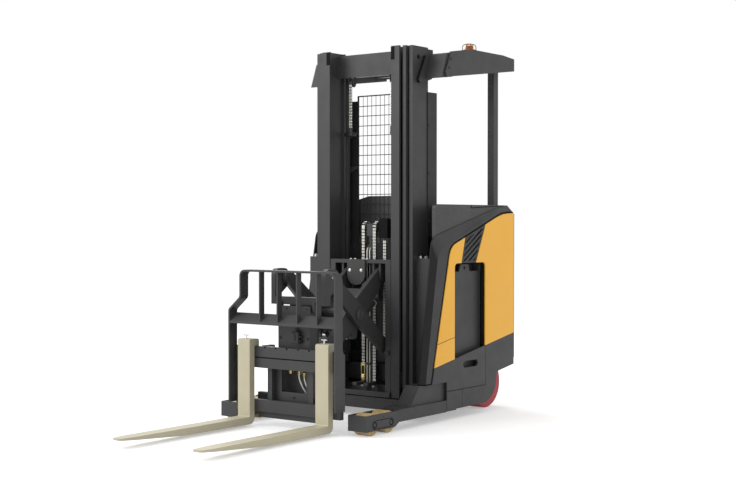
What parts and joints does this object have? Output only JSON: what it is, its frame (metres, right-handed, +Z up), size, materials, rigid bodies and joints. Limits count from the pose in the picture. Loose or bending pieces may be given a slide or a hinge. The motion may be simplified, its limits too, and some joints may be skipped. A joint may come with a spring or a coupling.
{
  "type": "reach truck",
  "caption": "Stand-up reach truck with nested lift mast, scissor reach carriage, tilting side-shift forks, load backrest, straddle base legs and an overhead guard.",
  "frame": {"origin": "middle of the truck over its full length and width, on the floor", "axes": "forks point to -Y, +X is the truck's left side, +Z is up"},
  "size_m": [1.174, 2.8948, 2.475],
  "materials": {
    "dark_paint": "satin dark grey paint",
    "yellow_paint": "semi-gloss warm yellow paint",
    "fork_steel": "satin beige paint",
    "tan_poly": "matte polyurethane",
    "red_poly": "matte polyurethane tyre",
    "steel": "bare steel",
    "chrome_rod": "hard chrome",
    "chain_steel": "oiled leaf chain",
    "cast_grey": "painted casting",
    "black_plastic": "grained plastic",
    "dark_plastic": "grained plastic",
    "battery_case": "satin paint",
    "pad_vinyl": "grained vinyl",
    "amber_lens": "clear amber lens",
    "gold_wire": "passivated wire",
    "black_wire": "black paint"
  },
  "bodies": {
    "chassis": {"base_legs": "dark_paint", "load_axles": "steel", "chassis_frame": "dark_paint", "side_frames": "dark_paint", "side_skirts": "dark_paint", "side_panels": "yellow_paint", "side_vents": "black_plastic", "battery": "battery_case", "battery_gates": "dark_paint", "hood": "dark_plastic", "console_controls": "black_plastic", "back_pad": "pad_vinyl", "overhead_guard": "dark_paint", "guard_arms": "dark_paint", "guard_pillar": "dark_paint", "beacon": "amber_lens", "beacon_cage": "gold_wire", "mast_outer": "dark_paint", "lift_barrels": "dark_paint", "mesh_guard": "black_wire"},
    "wheel_lf": {"load_wheel_lf": "tan_poly"},
    "wheel_lr": {"load_wheel_lr": "tan_poly"},
    "wheel_rf": {"load_wheel_rf": "tan_poly"},
    "wheel_rr": {"load_wheel_rr": "tan_poly"},
    "middle_mast": {"mast_middle": "dark_paint", "lift_rods": "chrome_rod"},
    "inner_mast": {"mast_inner": "dark_paint", "free_lift_barrel": "dark_paint"},
    "head": {"lift_head": "dark_paint"},
    "carriage": {"reach_carriage": "dark_paint", "lift_chains": "chain_steel"},
    "inner_arms": {"arms_inner": "dark_paint"},
    "outer_arms": {"arms_outer": "dark_paint"},
    "ram_barrels": {"reach_barrels": "dark_paint"},
    "ram_rods": {"reach_rods": "chrome_rod"},
    "scissor_front": {"fork_frame": "dark_paint"},
    "tilting": {"tilt_frame": "dark_paint"},
    "fork_carriage": {"fork_bars": "dark_paint", "backrest": "dark_paint", "fork_left": "fork_steel", "fork_right": "fork_steel"},
    "steer_unit": {"drive_unit": "cast_grey"},
    "drive_tyre": {"drive_wheel": "red_poly"},
    "swivel": {"caster_fork": "dark_paint"},
    "caster_pair": {"caster_wheels": "tan_poly"}
  },
  "joints": [
    {"name": "mast_lift", "type": "slide", "parent": "chassis", "child": "middle_mast", "axis": [0, 0, 1], "range_m": [0, 1.9]},
    {"name": "inner_lift", "type": "slide", "parent": "middle_mast", "child": "inner_mast", "axis": [0, 0, 1], "range_m": [0, 1.9]},
    {"name": "free_lift", "type": "slide", "parent": "inner_mast", "child": "head", "axis": [0, 0, 1], "range_m": [0, 0.6]},
    {"name": "carriage_lift", "type": "slide", "parent": "head", "child": "carriage", "axis": [0, 0, 1], "range_m": [0, 0.6], "deforming": ["lift_chains"]},
    {"name": "reach", "type": "hinge", "parent": "carriage", "child": "inner_arms", "pos_m": [0, 0.4614, 0.931], "axis": [1, 0, 0], "range_deg": [-8, 41]},
    {"name": "scissor_cross", "type": "hinge", "parent": "inner_arms", "child": "outer_arms", "pos_m": [0, 0.1685, 0.69127], "axis": [1, 0, 0], "range_deg": [-82.01, 16.01]},
    {"name": "scissor_front", "type": "hinge", "parent": "outer_arms", "child": "scissor_front", "pos_m": [0, -0.1244, 0.931], "axis": [1, 0, 0], "range_deg": [-8.01, 41.01]},
    {"name": "tilt", "type": "hinge", "parent": "scissor_front", "child": "tilting", "pos_m": [0, -0.2294, 0.74], "axis": [1, 0, 0], "range_deg": [-4, 3]},
    {"name": "sideshift", "type": "slide", "parent": "tilting", "child": "fork_carriage", "axis": [1, 0, 0], "range_m": [-0.05, 0.05]},
    {"name": "ram_swing", "type": "hinge", "parent": "carriage", "child": "ram_barrels", "pos_m": [0, 0.4924, 0.785], "axis": [1, 0, 0], "range_deg": [-10.09, 51.67]},
    {"name": "ram_stroke", "type": "slide", "parent": "ram_barrels", "child": "ram_rods", "axis": [0, -0.8233, -0.5676], "range_m": [-0.07206, 0.01446]},
    {"name": "steer", "type": "hinge", "parent": "chassis", "child": "steer_unit", "pos_m": [0.396, 1.2524, 0.4], "axis": [0, 0, 1], "range_deg": [-90, 90]},
    {"name": "drive_spin", "type": "hinge", "parent": "steer_unit", "child": "drive_tyre", "pos_m": [0.396, 1.2524, 0.1715], "axis": [1, 0, 0], "continuous": true},
    {"name": "caster_swivel", "type": "hinge", "parent": "chassis", "child": "swivel", "pos_m": [-0.396, 1.2524, 0.23], "axis": [0, 0, 1], "continuous": true},
    {"name": "caster_spin", "type": "hinge", "parent": "swivel", "child": "caster_pair", "pos_m": [-0.396, 1.3024, 0.1015], "axis": [1, 0, 0], "continuous": true},
    {"name": "load_lf", "type": "hinge", "parent": "chassis", "child": "wheel_lf", "pos_m": [0.518, -0.2126, 0.0675], "axis": [1, 0, 0], "continuous": true},
    {"name": "load_lr", "type": "hinge", "parent": "chassis", "child": "wheel_lr", "pos_m": [0.518, -0.0476, 0.0675], "axis": [1, 0, 0], "continuous": true},
    {"name": "load_rf", "type": "hinge", "parent": "chassis", "child": "wheel_rf", "pos_m": [-0.518, -0.2126, 0.0675], "axis": [1, 0, 0], "continuous": true},
    {"name": "load_rr", "type": "hinge", "parent": "chassis", "child": "wheel_rr", "pos_m": [-0.518, -0.0476, 0.0675], "axis": [1, 0, 0], "continuous": true}
  ],
  "couplings": [
    {"joint": "inner_lift", "follows": "mast_lift", "ratio": 1},
    {"joint": "carriage_lift", "follows": "free_lift", "ratio": 1},
    {"joint": "scissor_cross", "follows": "reach", "ratio": -2},
    {"joint": "scissor_front", "follows": "reach", "ratio": 1},
    {"joint": "ram_swing", "follows": "reach", "ratio": 1.26},
    {"joint": "ram_stroke", "follows": "reach", "m_per_rad": -0.1}
  ]
}
